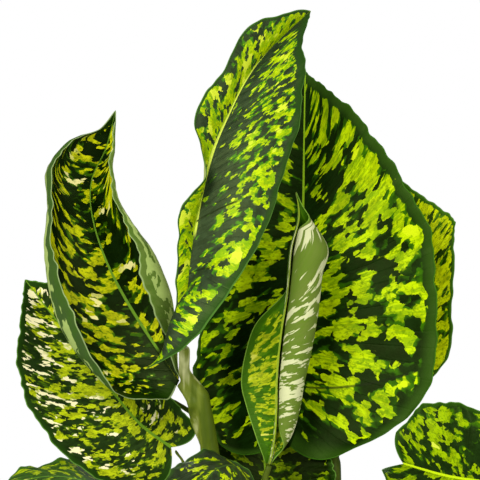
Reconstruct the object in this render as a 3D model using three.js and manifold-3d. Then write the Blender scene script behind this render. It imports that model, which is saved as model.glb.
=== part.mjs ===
// A potted dieffenbachia: broad variegated leaves on three short canes in a round nursery pot.
// Millimetres, +Z up, the origin at the centre of the pot's underside, the plant's front towards -Y.
import * as THREE from "three";
import { mergeVertices } from "three/addons/utils/BufferGeometryUtils.js";
import Module from "manifold-3d";

const wasm = await Module();
wasm.setup();

// Pot
const potHeight = 155;
const potTopRadius = 85;
const potFootRadius = 62;
const potWall = 2.2;
const rimHeight = 16;
const rimStep = 3;
const potSides = 40;
const drainHoles = 6;
const drainRadius = 5;
const drainCircle = 42;

// Soil and the holes that the canes stand in
const soilTop = 143;
const holeDepth = 50;
const clearance = 0.3;

// Canes and leaf stalks
const caneSides = 10;
const caneSteps = 12;
const caneTaper = 0.2;
const nodeSwell = 0.7;
const nodePitch = 18;
const stalkSides = 7;
const stalkSteps = 9;
const stalkFlare = 1.5;
const backSeat = 0.06;
const seatSteps = 60;

// Leaf blades
const bladeThickness = 1;
const ribDepth = 1.6;
const lobeShare = 0.3;
const edgeLag = 1.3;
const plainColumns = [0.1, 0.45, 0.8, 1];
const curledColumns = [0.08, 0.32, 0.56, 0.8, 1];
const scrollColumns = Array.from({ length: 12 }, (_, i) => (i + 1) / 12);
const openColumns = [0.35, 0.7, 1];

// The young leaf's scroll, in half turns
const scrollStart = 1.08;
const leastTurn = 0.4;
const fullTurn = 1.75;
const tightening = 0.22;
const fullShare = 0.6;

const degrees = Math.PI / 180;

const colours = {
  pot: 0x35383a,
  soil: 0x35261b,
  stem: 0x8fa35a,
  blade: 0x5b9a1c,
  youngBlade: 0xa9bf78,
};

// The leaves at the plant's front. Every line runs from the blade's base to its tip: the rib, the two edges,
// and a middle line where a half curls. wave is the height of the edge's waves, scallop their depth in the
// outline, bend the bulge of a half, and round how far the base is rounded back.
const frontLeaves = {
  leaf_tall_front: {
    rows: 24, wave: 1, waves: 6, scallop: 0.015, bend: 0.06, round: 0,
    rib: [
      [-62, -36, 349], [-61, -42, 363], [-59, -47, 382], [-59, -50, 404], [-56, -50, 430],
      [-51, -47, 459], [-43, -42, 489], [-33, -35, 514], [-19, -26, 543], [-1, -14, 568],
      [32, 2, 600],
    ],
    leftEdge: [
      [-66, -32, 352], [-66, -35, 358], [-67, -38, 365], [-68, -42, 372], [-68, -46, 382],
      [-68, -52, 396], [-67, -58, 412], [-67, -63, 431], [-65, -66, 449], [-56, -65, 462],
      [-47, -62, 475], [-50, -57, 498], [-54, -52, 516], [-47, -46, 536], [-38, -41, 547],
      [-27, -36, 565], [-20, -30, 580], [-6, -23, 592], [10, -15, 596], [22, -6, 600], [32, 2, 600],
    ],
    rightMiddle: [
      [-76, -54, 343], [-75, -64, 358], [-63, -65, 382], [-33, -62, 418], [-21, -57, 454],
      [-14, -50, 487], [-8, -42, 515], [-3, -34, 537], [6, -25, 562], [16, -12, 580], [32, 2, 600],
    ],
    rightEdge: [
      [-90, -62, 333], [-61, -74, 350], [-34, -74, 382], [-8, -64, 424], [9, -52, 469],
      [21, -42, 509], [26, -32, 539], [27, -24, 560], [26, -16, 579], [30, -7, 591], [32, 2, 600],
    ],
  },
  leaf_cupped_left: {
    rows: 24, wave: 1.2, waves: 7, scallop: 0.015, bend: 0, round: 0,
    rib: [
      [-67, -26, 324], [-82, -14, 346], [-105, -4, 381], [-122, 2, 414], [-132, 4, 447],
      [-132, 2, 473], [-121, -4, 497], [-114, -10, 525],
    ],
    leftMiddle: [
      [-72, -26, 312], [-98, -23, 321], [-121, -20, 331], [-138, -20, 346], [-151, -20, 364],
      [-158, -19, 385], [-162, -18, 407], [-163, -16, 425], [-162, -14, 441], [-161, -13, 456],
      [-163, -12, 474], [-156, -12, 489], [-143, -12, 502], [-125, -11, 510], [-114, -10, 525],
    ],
    leftEdge: [
      [-76, -30, 310], [-95, -37, 310], [-113, -44, 316], [-129, -49, 340], [-142, -52, 368],
      [-150, -51, 388], [-156, -48, 406], [-160, -42, 423], [-161, -36, 441], [-160, -31, 462],
      [-160, -26, 484], [-151, -21, 496], [-141, -16, 505], [-125, -13, 511], [-114, -10, 525],
    ],
    rightMiddle: [
      [-67, -24, 327], [-69, -25, 356], [-74, -26, 391], [-90, -26, 422], [-110, -24, 450],
      [-117, -18, 476], [-115, -12, 499], [-114, -10, 525],
    ],
    rightEdge: [
      [-69, -27, 331], [-78, -42, 361], [-92, -48, 394], [-98, -44, 424], [-112, -36, 453],
      [-118, -24, 480], [-116, -14, 503], [-114, -10, 525],
    ],
  },
  leaf_lower_left: {
    rows: 20, wave: 1.6, waves: 6, scallop: 0.015, bend: -0.08, round: 0.22,
    rib: [
      [-73, 12, 272], [-96, 15, 289], [-116, 20, 312], [-139, 24, 342], [-163, 28, 371],
      [-184, 32, 398],
    ],
    leftEdge: [
      [-90, -4, 241], [-135, -2, 253], [-173, 2, 292], [-188, 8, 332], [-186, 20, 374],
      [-184, 32, 398],
    ],
    rightEdge: [
      [-54, 6, 288], [-74, 14, 310], [-106, 20, 340], [-130, 24, 369], [-157, 26, 392],
      [-184, 32, 398],
    ],
  },
  leaf_broad_right: {
    rows: 24, wave: 1.8, waves: 7, scallop: 0.012, bend: -0.05, round: 0.2,
    rib: [[12, 14, 278], [20, 24, 336], [24, 34, 395], [27, 44, 449], [28, 54, 503], [29, 62, 557]],
    leftEdge: [[-36, 2, 275], [-55, 0, 313], [-50, 8, 367], [-35, 24, 448], [-4, 42, 512], [29, 62, 557]],
    rightEdge: [
      [56, 3, 268], [98, 2, 289], [125, 4, 329], [126, 10, 379], [125, 18, 424], [108, 28, 464],
      [88, 38, 496], [70, 46, 521], [50, 54, 540], [37, 60, 550], [29, 62, 557],
    ],
  },
  leaf_behind_right: {
    rows: 16, wave: 1.5, waves: 5, scallop: 0.01, bend: 0, round: 0.1,
    rib: [[90, 60, 302], [96, 72, 351], [101, 82, 405], [101, 88, 476]],
    leftEdge: [[71, 56, 310], [59, 64, 359], [65, 76, 420], [101, 88, 476]],
    rightEdge: [
      [109, 60, 306], [138, 66, 338], [142, 72, 382], [144, 78, 428], [142, 82, 446],
      [122, 86, 460], [101, 88, 476],
    ],
  },
  leaf_bottom_right: {
    rows: 18, wave: 1.5, waves: 5, scallop: 0.01, bend: -0.05, round: 0.15,
    rib: [[101, -20, 261], [134, -40, 253], [170, -62, 249], [205, -84, 244], [234, -104, 236]],
    leftEdge: [[96, -4, 284], [121, -2, 306], [161, -22, 300], [203, -60, 277], [234, -104, 236]],
    rightEdge: [[84, -44, 258], [100, -70, 223], [146, -90, 206], [196, -104, 214], [234, -104, 236]],
  },
  leaf_bottom_front: {
    rows: 18, wave: 1.5, waves: 5, scallop: 0.01, bend: 0, round: 0.1,
    rib: [[-5, -50, 236], [-22, -72, 261], [-40, -100, 260], [-57, -122, 235], [-73, -132, 199]],
    leftEdge: [[-8, -74, 229], [-14, -104, 240], [-24, -128, 227], [-45, -138, 208], [-73, -132, 199]],
    rightEdge: [[-14, -46, 258], [-47, -56, 273], [-75, -80, 254], [-86, -108, 226], [-73, -132, 199]],
  },
  leaf_bottom_left: {
    rows: 18, wave: 2.2, waves: 4, scallop: 0.01, bend: 0, round: 0.1,
    rib: [[-112, -12, 234], [-136, -10, 247], [-163, -8, 251], [-190, -6, 245], [-213, -4, 232]],
    leftEdge: [[-113, -40, 231], [-139, -56, 240], [-168, -52, 242], [-195, -30, 239], [-213, -4, 232]],
    rightEdge: [[-120, 14, 243], [-148, 34, 260], [-180, 36, 256], [-202, 18, 245], [-213, -4, 232]],
  },
  leaf_low_middle: {
    rows: 16, wave: 1.5, waves: 5, scallop: 0.01, bend: 0, round: 0.1,
    rib: [[0, 26, 212], [-1, 30, 244], [-4, 34, 273], [-8, 42, 300]],
    leftEdge: [[-21, 20, 216], [-46, 20, 254], [-38, 28, 284], [-8, 42, 300]],
    rightEdge: [[28, 14, 212], [50, 6, 244], [40, 13, 272], [-8, 42, 300]],
  },
};

// The young leaf: the axis and radius of its rolled half, and the edge of its open half.
const youngLeaf = {
  rows: 18,
  axis: [
    [2, -22, 261], [11, -22, 281], [15, -22, 301], [17, -22, 322], [20, -22, 342],
    [23, -22, 362], [26, -22, 383], [28, -22, 402], [31, -22, 422], [27, -22, 445],
    [21, -22, 464],
  ],
  radius: [1, 6, 8.6, 10.4, 12, 12.8, 12.8, 12.8, 14, 4, 0.8],
  edge: [
    [-2, -18, 262], [-9, -16, 281], [-16, -12, 303], [-20, -10, 322], [-16, -10, 347],
    [-8, -12, 367], [12, -18, 388], [14, -20, 402], [16, -21, 422], [22, -22, 445],
    [21, -22, 464],
  ],
};

// The plainer leaves at the back and low down, each from its base along a heading.
const archingLeaves = {
  leaf_back_right: {
    base: [44, 64, 290], heading: 66, length: 205, halfWidth: 46, rise: 60, droop: -20, fold: 0.25,
  },
  leaf_back_left: {
    base: [-86, 62, 312], heading: 128, length: 180, halfWidth: 40, rise: 36, droop: -35, fold: 0.25,
  },
  leaf_low_front_right: {
    base: [44, -50, 186], heading: -58, length: 165, halfWidth: 36, rise: 18, droop: -38, fold: 0.2,
  },
  leaf_low_back_right: {
    base: [92, 46, 205], heading: 24, length: 170, halfWidth: 38, rise: 15, droop: -40, fold: 0.2,
  },
  leaf_low_back_left: {
    base: [-84, 44, 205], heading: 156, length: 165, halfWidth: 37, rise: 15, droop: -40, fold: 0.2,
  },
  leaf_low_front_left: {
    base: [-62, -44, 190], heading: -146, length: 150, halfWidth: 34, rise: 18, droop: -40, fold: 0.2,
  },
};
const archingWidths = [0.45, 0.9, 1, 0.82, 0.48, 0];
const veinSweep = 0.16;

// Each cane with its stalks: a stalk's path runs from the cane towards the blade that it carries, and ends
// on it.
const stems = {
  stem_left: {
    cane: [[-30, 5, 93], [-30, 5, 150], [-33, 3, 205]],
    girth: 11,
    stalks: [
      {
        leaf: "leaf_tall_front", wide: 14, narrow: 5,
        path: [[-31, 3, 165], [-38, -12, 225], [-43, -24, 268], [-46, -28, 292], [-50, -31, 315]],
      },
      {
        leaf: "leaf_cupped_left", wide: 9, narrow: 4,
        path: [[-31, 3, 165], [-38, -6, 225], [-44, -16, 268], [-56, -22, 298]],
      },
      { leaf: "leaf_lower_left", wide: 4, narrow: 2, path: [[-31, 3, 165], [-46, 8, 215], [-62, 12, 252]] },
      {
        leaf: "leaf_bottom_left", wide: 5, narrow: 2.2,
        path: [[-31, 3, 165], [-62, -6, 208], [-92, -11, 226]],
      },
      {
        leaf: "leaf_back_left", wide: 6, narrow: 2.4,
        path: [[-31, 3, 165], [-38, 30, 225], [-44, 50, 278], [-62, 60, 300]],
      },
      { leaf: "leaf_low_back_left", wide: 5, narrow: 2.2, path: [[-31, 3, 160], [-54, 22, 190]] },
      { leaf: "leaf_low_front_left", wide: 5, narrow: 2.2, path: [[-31, 3, 155], [-44, -20, 178]] },
    ],
  },
  stem_middle: {
    cane: [[4, -12, 93], [4, -12, 150], [4, -13, 205]],
    girth: 10,
    stalks: [
      { leaf: "leaf_rolled", wide: 8, narrow: 3, path: [[4, -12, 165], [3, -17, 215]] },
      { leaf: "leaf_bottom_front", wide: 6, narrow: 2.4, path: [[4, -12, 160], [8, -30, 200]] },
      { leaf: "leaf_low_middle", wide: 6, narrow: 2.4, path: [[4, -12, 160], [6, 14, 188]] },
      { leaf: "leaf_low_front_right", wide: 5, narrow: 2.2, path: [[4, -12, 155], [24, -30, 172]] },
    ],
  },
  stem_right: {
    cane: [[42, 14, 93], [42, 14, 150], [46, 15, 205]],
    girth: 11,
    stalks: [
      {
        leaf: "leaf_broad_right", behind: true, wide: 12, narrow: 4,
        path: [[43, 14, 165], [48, 18, 225], [49, 24, 264], [36, 34, 290]],
      },
      { leaf: "leaf_behind_right", wide: 6, narrow: 2.4, path: [[43, 14, 165], [48, 30, 225], [52, 44, 266]] },
      {
        leaf: "leaf_bottom_right", behind: true, wide: 6, narrow: 2.4,
        path: [[43, 14, 165], [66, 4, 196], [92, -6, 230]],
      },
      { leaf: "leaf_back_right", wide: 6, narrow: 2.4, path: [[43, 14, 165], [46, 40, 215]] },
      { leaf: "leaf_low_back_right", wide: 5, narrow: 2.2, path: [[43, 14, 160], [66, 30, 190]] },
    ],
  },
};

// Each blade's surface by its name, filled in as the blades are made and read by the stalks that carry them.
const surfaces = {};

const vector = (p) => new THREE.Vector3(...p);

function line(points) {
  return new THREE.CatmullRomCurve3(points.map(vector), false, "catmullrom", 0.5);
}

// A blade's middle surface as a function of the way along the rib and the way across, -1 at the left edge and
// 1 at the right: a row runs from the rib to each edge as a quadratic curve through the middle line.
function bladeSurface(leaf) {
  const rib = line(leaf.rib);
  const halves = [
    { edge: line(leaf.leftEdge), middle: leaf.leftMiddle && line(leaf.leftMiddle), hand: -1, lag: edgeLag },
    { edge: line(leaf.rightEdge), middle: leaf.rightMiddle && line(leaf.rightMiddle), hand: 1, lag: 0 },
  ];
  return (along, across) => {
    const half = halves[across < 0 ? 0 : 1];
    const t = Math.abs(across);
    const root = rib.getPoint(along);
    const tangent = rib.getTangent(along);
    const edge = half.edge.getPoint(along);
    const reach = edge.clone().sub(root);
    const width = reach.length();
    const up = reach.clone().cross(tangent).multiplyScalar(half.hand).normalize();
    const phase = leaf.waves * Math.PI * 2 * along + half.lag;
    edge.addScaledVector(reach, leaf.scallop * Math.sin(phase + 1));
    const middle = half.middle
      ? half.middle.getPoint(along)
      : root.clone().add(edge).multiplyScalar(0.5).addScaledVector(up, leaf.bend * width);
    const control = middle.multiplyScalar(2).addScaledVector(root, -0.5).addScaledVector(edge, -0.5);
    const lobe = leaf.round * width * 4 * t * (1 - t) * Math.max(0, 1 - along / lobeShare) ** 2;
    const fade = Math.sin(Math.PI * along) ** 0.5;
    return root.multiplyScalar((1 - t) ** 2)
      .addScaledVector(control, 2 * t * (1 - t))
      .addScaledVector(edge, t * t)
      .addScaledVector(tangent, -lobe)
      .addScaledVector(up, leaf.wave * fade * t ** 3 * Math.sin(phase));
  };
}

// The young leaf's surface: the right half winds round the axis as a scroll, the left half is open.
function scrollSurface(leaf) {
  const axis = line(leaf.axis);
  const radius = new THREE.SplineCurve(leaf.radius.map((r, i) => new THREE.Vector2(i, r)));
  const edge = line(leaf.edge);
  const widest = Math.max(...leaf.radius);
  const wound = (along, t) => {
    const r = radius.getPoint(along).y;
    const full = Math.min(1, r / (fullShare * widest));
    const angle = Math.PI * (scrollStart - t * (leastTurn + fullTurn * full));
    const spread = r * (1 - tightening * full * t ** 2);
    const offset = new THREE.Vector3(spread * Math.cos(angle), spread * Math.sin(angle), 0);
    return axis.getPoint(along).add(offset);
  };
  return (along, across) => {
    if (across >= 0) return wound(along, across);
    const t = -across;
    const root = wound(along, 0);
    const reach = edge.getPoint(along).sub(root);
    const hollow = new THREE.Vector3(0, reach.length() * 0.5 * t * (1 - t), 0);
    return root.addScaledVector(reach, t).add(hollow);
  };
}

// The lines of a plain leaf that leaves its base along a heading, rises and then droops.
function archingLeaf({ base, heading, length, halfWidth, rise, droop, fold }) {
  const out = new THREE.Vector3(Math.cos(heading * degrees), Math.sin(heading * degrees), 0);
  const side = new THREE.Vector3(out.y, -out.x, 0);
  const pieces = archingWidths.length - 1;
  const rib = [base];
  for (let i = 1; i <= pieces; i++) {
    const tilt = (rise + ((droop - rise) * (i - 0.5)) / pieces) * degrees;
    const next = vector(rib[i - 1]).addScaledVector(out, (length / pieces) * Math.cos(tilt));
    next.z += (length / pieces) * Math.sin(tilt);
    rib.push(next.toArray());
  }
  const curve = line(rib);
  const edge = (hand) => archingWidths.map((share, i) => {
    const along = i / pieces;
    const root = curve.getPoint(Math.min(1, along + veinSweep * Math.sin(Math.PI * along)));
    root.addScaledVector(side, halfWidth * share * hand);
    root.z += halfWidth * share * fold;
    return root.toArray();
  });
  return {
    rows: 16, wave: 2, waves: 5, scallop: 0.015, bend: -0.08, round: 0.2,
    rib, leftEdge: edge(-1), rightEdge: edge(1),
  };
}

// A thin closed solid round a surface: the same triangles on both faces, joined round the border.
function bladeGeometry(surface, rows, leftColumns, rightColumns) {
  const across = [...leftColumns].reverse().map((t) => -t).concat([0], rightColumns);
  const width = across.length;
  const ribColumn = leftColumns.length;
  const points = [];
  for (let i = 0; i < rows; i++) {
    for (const t of across) points.push(surface(i / rows, t));
  }
  const tip = points.length;
  points.push(surface(1, 0));
  const faces = [];
  for (let i = 0; i < rows - 1; i++) {
    for (let j = 0; j < width - 1; j++) {
      const a = i * width + j;
      const b = a + 1;
      const c = b + width;
      const d = a + width;
      if (j < ribColumn) faces.push([a, b, c], [a, c, d]);
      else faces.push([a, b, d], [b, c, d]);
    }
  }
  const lastRow = (rows - 1) * width;
  for (let j = 0; j < width - 1; j++) faces.push([lastRow + j, lastRow + j + 1, tip]);
  const normals = points.map(() => new THREE.Vector3());
  for (const [a, b, c] of faces) {
    const normal = points[b].clone().sub(points[a]).cross(points[c].clone().sub(points[a]));
    for (const k of [a, b, c]) normals[k].add(normal);
  }
  const positions = [];
  const half = bladeThickness / 2;
  points.forEach((p, k) => {
    positions.push(...p.clone().addScaledVector(normals[k].normalize(), half).toArray());
  });
  points.forEach((p, k) => {
    const onRib = k !== tip && k % width === ribColumn;
    const ridge = onRib ? ribDepth * (1 - Math.floor(k / width) / rows) : 0;
    positions.push(...p.clone().addScaledVector(normals[k], -half - ridge).toArray());
  });
  const under = points.length;
  const index = [];
  for (const [a, b, c] of faces) index.push(a, b, c, a + under, c + under, b + under);
  const border = [];
  for (let j = 0; j < width - 1; j++) border.push(j);
  for (let i = 0; i < rows; i++) border.push(i * width + width - 1);
  border.push(tip);
  for (let i = rows - 1; i > 0; i--) border.push(i * width);
  border.forEach((a, k) => {
    const b = border[(k + 1) % border.length];
    index.push(a, a + under, b, b, a + under, b + under);
  });
  return indexed(positions, index);
}

function indexed(positions, index) {
  const geometry = new THREE.BufferGeometry();
  geometry.setAttribute("position", new THREE.Float32BufferAttribute(positions, 3));
  geometry.setIndex(index);
  return geometry;
}

// A closed round tube along a curve, its radius given along the way.
function tubeGeometry(curve, radiusAt, sides, steps) {
  const frames = curve.computeFrenetFrames(steps, false);
  const positions = [];
  const index = [];
  for (let i = 0; i <= steps; i++) {
    const centre = curve.getPointAt(i / steps);
    const radius = radiusAt(i / steps);
    for (let k = 0; k < sides; k++) {
      const angle = (Math.PI * 2 * k) / sides;
      const point = centre.clone()
        .addScaledVector(frames.normals[i], radius * Math.cos(angle))
        .addScaledVector(frames.binormals[i], radius * Math.sin(angle));
      positions.push(...point.toArray());
    }
  }
  for (let i = 0; i < steps; i++) {
    for (let k = 0; k < sides; k++) {
      const a = i * sides + k;
      const b = i * sides + ((k + 1) % sides);
      index.push(a, b, b + sides, a, b + sides, a + sides);
    }
  }
  const last = steps * sides;
  for (let k = 1; k < sides - 1; k++) {
    index.push(0, k + 1, k);
    index.push(last, last + k, last + k + 1);
  }
  return indexed(positions, index);
}

// A closed geometry as a solid that can be joined and cut.
function solidOf(geometry) {
  const plain = geometry.clone();
  plain.deleteAttribute("normal");
  plain.deleteAttribute("uv");
  const merged = mergeVertices(plain, 1e-3);
  const mesh = new wasm.Mesh({
    numProp: 3,
    vertProperties: new Float32Array(merged.attributes.position.array),
    triVerts: new Uint32Array(merged.index.array),
  });
  return new wasm.Manifold(mesh);
}

function geometryOf(solid) {
  const mesh = solid.getMesh();
  return indexed(Array.from(mesh.vertProperties), Array.from(mesh.triVerts));
}

// Where a stalk meets its blade: just clear of the base's edge, or of the rib's back.
function stalkEnd(surface, { narrow, behind }) {
  const base = surface(0, 0);
  const tangent = surface(0.02, 0).sub(base).normalize();
  if (behind) {
    const seat = surface(backSeat, 0);
    const side = surface(backSeat, 0.2).sub(surface(backSeat, -0.2));
    const back = tangent.clone().cross(side).normalize();
    const end = seat.addScaledVector(back, bladeThickness / 2 + ribDepth + clearance);
    return { end, run: back };
  }
  let reachBack = 0;
  for (let i = -seatSteps; i <= seatSteps; i++) {
    const offset = surface(0, i / (2 * seatSteps)).sub(base);
    const back = -offset.dot(tangent);
    const aside = offset.addScaledVector(tangent, back).length();
    if (aside < narrow + bladeThickness) reachBack = Math.max(reachBack, back);
  }
  const end = base.addScaledVector(tangent, -reachBack - clearance);
  return { end, run: tangent.negate() };
}

// A cane with its leaf stalks, grown as one piece.
function stemGeometry(stem) {
  const tall = stem.cane[stem.cane.length - 1][2] - stem.cane[0][2];
  const caneRadius = (s) => {
    const turns = (s * tall) / nodePitch;
    return stem.girth * (1 - caneTaper * s) + nodeSwell * Math.cos(turns * Math.PI * 2);
  };
  let joined = solidOf(tubeGeometry(line(stem.cane), caneRadius, caneSides, caneSteps));
  for (const stalk of stem.stalks) {
    const { end, run } = stalkEnd(surfaces[stalk.leaf], stalk);
    const approach = end.clone().addScaledVector(run, 4 * stalk.narrow);
    const path = line([...stalk.path, approach.toArray(), end.toArray()]);
    const radius = (s) => stalk.narrow + (stalk.wide - stalk.narrow) * (1 - s) ** stalkFlare;
    joined = joined.add(solidOf(tubeGeometry(path, radius, stalkSides, stalkSteps)));
  }
  return geometryOf(joined);
}

// An upright cylinder from one height to another.
function post(radius, low, high, x, y, sides) {
  const geometry = new THREE.CylinderGeometry(radius, radius, high - low, sides);
  return geometry.rotateX(90 * degrees).translate(x, y, (low + high) / 2);
}

function latheGeometry(profile, sides) {
  const points = profile.map(([r, z]) => new THREE.Vector2(r, z));
  return new THREE.LatheGeometry(points, sides).rotateX(90 * degrees);
}

// The pot: a tapered shell with a stepped rim and drain holes round its flat foot.
function potGeometry() {
  const shoulder = potHeight - rimHeight;
  const bodyTop = potTopRadius - rimStep;
  const shell = latheGeometry([
    [0, 0], [potFootRadius, 0], [bodyTop, shoulder], [potTopRadius, shoulder], [potTopRadius, potHeight],
    [potTopRadius - potWall, potHeight], [bodyTop - potWall, shoulder], [potFootRadius - potWall, potWall],
    [0, potWall],
  ], potSides);
  let pot = solidOf(shell);
  for (let i = 0; i < drainHoles; i++) {
    const angle = (i * 360 * degrees) / drainHoles;
    const x = drainCircle * Math.cos(angle);
    const y = drainCircle * Math.sin(angle);
    pot = pot.subtract(solidOf(post(drainRadius, -1, potWall + 1, x, y, 12)));
  }
  return geometryOf(pot);
}

// The soil fills the pot to just under the rim, with a plain hole round each cane.
function soilGeometry() {
  const low = potWall + clearance;
  const shoulder = potHeight - rimHeight;
  const flare = (potTopRadius - rimStep - potFootRadius) / (shoulder - potWall);
  const inside = (z) => potFootRadius - potWall + flare * (z - potWall) - clearance;
  const body = latheGeometry([
    [0, low], [inside(low), low], [inside(shoulder), shoulder], [inside(shoulder), soilTop], [0, soilTop],
  ], potSides);
  let soil = solidOf(body);
  for (const stem of Object.values(stems)) {
    const [x, y] = stem.cane[0];
    const radius = stem.girth + nodeSwell + clearance;
    const floor = soilTop - holeDepth - clearance;
    soil = soil.subtract(solidOf(post(radius, floor, soilTop + 1, x, y, 2 * caneSides)));
  }
  return geometryOf(soil);
}

function part(name, geometry, color, roughness) {
  const material = new THREE.MeshStandardMaterial({ color, roughness, metalness: 0 });
  const mesh = new THREE.Mesh(geometry, material);
  mesh.name = name;
  return mesh;
}

const plant = new THREE.Group();

const plainLeaves = Object.entries(archingLeaves).map(([name, shape]) => [name, archingLeaf(shape)]);
for (const [name, leaf] of [...Object.entries(frontLeaves), ...plainLeaves]) {
  surfaces[name] = bladeSurface(leaf);
  const leftColumns = leaf.leftMiddle ? curledColumns : plainColumns;
  const rightColumns = leaf.rightMiddle ? curledColumns : plainColumns;
  const blade = bladeGeometry(surfaces[name], leaf.rows, leftColumns, rightColumns);
  plant.add(part(name, blade, colours.blade, 0.35));
}

surfaces.leaf_rolled = scrollSurface(youngLeaf);
const scroll = bladeGeometry(surfaces.leaf_rolled, youngLeaf.rows, openColumns, scrollColumns);
plant.add(part("leaf_rolled", scroll, colours.youngBlade, 0.4));

for (const [name, stem] of Object.entries(stems)) {
  plant.add(part(name, stemGeometry(stem), colours.stem, 0.5));
}
plant.add(part("soil", soilGeometry(), colours.soil, 0.95));
plant.add(part("pot", potGeometry(), colours.pot, 0.45));

export default plant;
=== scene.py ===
import math

import bpy
import numpy as np
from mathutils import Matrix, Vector


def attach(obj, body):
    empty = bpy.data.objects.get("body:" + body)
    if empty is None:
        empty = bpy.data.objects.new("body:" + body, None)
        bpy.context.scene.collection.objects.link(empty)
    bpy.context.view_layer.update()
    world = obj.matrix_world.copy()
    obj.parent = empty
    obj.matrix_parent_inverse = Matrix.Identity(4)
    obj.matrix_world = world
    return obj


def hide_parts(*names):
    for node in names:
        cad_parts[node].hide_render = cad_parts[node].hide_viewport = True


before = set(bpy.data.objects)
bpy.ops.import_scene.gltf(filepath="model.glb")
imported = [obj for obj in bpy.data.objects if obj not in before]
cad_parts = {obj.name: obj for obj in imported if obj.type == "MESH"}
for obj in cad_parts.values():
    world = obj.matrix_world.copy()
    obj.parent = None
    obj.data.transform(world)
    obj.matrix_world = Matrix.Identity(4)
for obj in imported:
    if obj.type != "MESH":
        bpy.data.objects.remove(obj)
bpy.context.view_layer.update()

# ---------------------------------------------------------------- view
# The camera looks level at the foliage from the front, through a long lens. The white room is brighter to
# the camera than as a light on the plant, and four soft boxes shine towards the plant's middle.


def new_object(name, data):
    """A new object in the scene."""
    made = bpy.data.objects.new(name, data)
    bpy.context.scene.collection.objects.link(made)
    return made


camera = bpy.data.cameras.new("camera")
camera.lens = 300
camera.sensor_width = 36
camera_holder = new_object("camera", camera)
camera_holder.location = (-0.021, -3.0, 0.428)
camera_holder.rotation_euler = (math.radians(90), 0, 0)
bpy.context.scene.camera = camera_holder
bpy.context.scene.view_settings.view_transform = "Standard"


def add_node(tree, kind, inputs=None, **settings):
    """A shader node with its settings, its inputs given as constants or as the sockets that feed them."""
    made = tree.nodes.new("ShaderNode" + kind)
    for name, value in settings.items():
        setattr(made, name, value)
    for name, value in (inputs or {}).items():
        if isinstance(value, bpy.types.NodeSocket):
            tree.links.new(value, made.inputs[name])
        else:
            made.inputs[name].default_value = value
    return made


room_light = 0.42
room_seen = 1.0
world = bpy.data.worlds.new("room")
world.use_nodes = True
bpy.context.scene.world = world
room = world.node_tree
seen = add_node(room, "LightPath").outputs["Is Camera Ray"]
glow = add_node(room, "MapRange", {"Value": seen, "To Min": room_light, "To Max": room_seen})
room.links.new(glow.outputs["Result"], room.nodes["Background"].inputs["Strength"])
room.nodes["Background"].inputs["Color"].default_value = (1, 1, 1, 1)


def soft_light(name, place, size, power):
    """A square soft box at place that shines towards the plant's middle."""
    plant_middle = Vector((0, 0, 0.4))
    light = bpy.data.lights.new(name, "AREA")
    light.shape = "SQUARE"
    light.size = size
    light.energy = power
    holder = new_object(name, light)
    holder.location = place
    holder.rotation_euler = (plant_middle - Vector(place)).to_track_quat("-Z", "Y").to_euler()


soft_light("key_light", (-0.9, -2.1, 1.5), 0.9, 44)
soft_light("fill_light", (1.5, -2.0, 0.8), 1.0, 19)
soft_light("left_light", (-1.9, -1.3, 0.5), 0.9, 12)
soft_light("back_light", (0.3, 1.8, 1.5), 1.2, 14)

# ---------------------------------------------------------------- floor
# A plain pale round floor that the pot stands on, not part of the plant. It is laid a little below the
# pot's foot, so that the two faces don't share one plane.
floor_radius = 1.2
floor_drop = 0.0005
bpy.ops.mesh.primitive_circle_add(
    vertices=96, radius=floor_radius, fill_type="NGON", location=(0, 0, -floor_drop))
floor = bpy.context.object
floor.name = "floor"


def new_material(name):
    """A new material, its node tree and its surface shader."""
    material = bpy.data.materials.new(name)
    material.use_nodes = True
    return material, material.node_tree, material.node_tree.nodes["Principled BSDF"]


floor_paint, _, floor_surface = new_material("floor")
floor_surface.inputs["Base Color"].default_value = (0.8, 0.8, 0.8, 1)
floor_surface.inputs["Roughness"].default_value = 0.8
floor.data.materials.append(floor_paint)

# ---------------------------------------------------------------- tall front leaf
# The tallest blade: a thin living leaf at the tip of its stalk, its glossy upper face to the viewer and its
# base twisted into a long lobe. Dark grey-green under lime blotches that run out along its side veins. Its
# surface lies between a rib line and two edge lines and is given a thickness, like every open blade.
mm = 0.001
to_mm = 1000


def between(a, b, c, d, w):
    """The point at share w of the way from b to c, on a smooth curve through a, b, c and d."""
    start, end = (c - a) / 2, (d - b) / 2
    return ((2 * b - 2 * c + start + end) * w + (3 * c - 3 * b - 2 * start - end)) * w ** 2 + start * w + b


def line(points):
    """A smooth curve through points in millimetres: gives metres at a share of the way along."""
    given = np.array(points, dtype=float) * mm
    given = np.vstack([2 * given[0] - given[1], given, 2 * given[-1] - given[-2]])
    pieces = len(points) - 1

    def at(share):
        place = np.clip(share, 0, 1) * pieces
        i = np.minimum(place.astype(int), pieces - 1)
        return between(given[i], given[i + 1], given[i + 2], given[i + 3], (place - i)[..., None])

    return at


def unit(v):
    return v / np.maximum(np.linalg.norm(v, axis=-1, keepdims=True), 1e-12)


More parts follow.
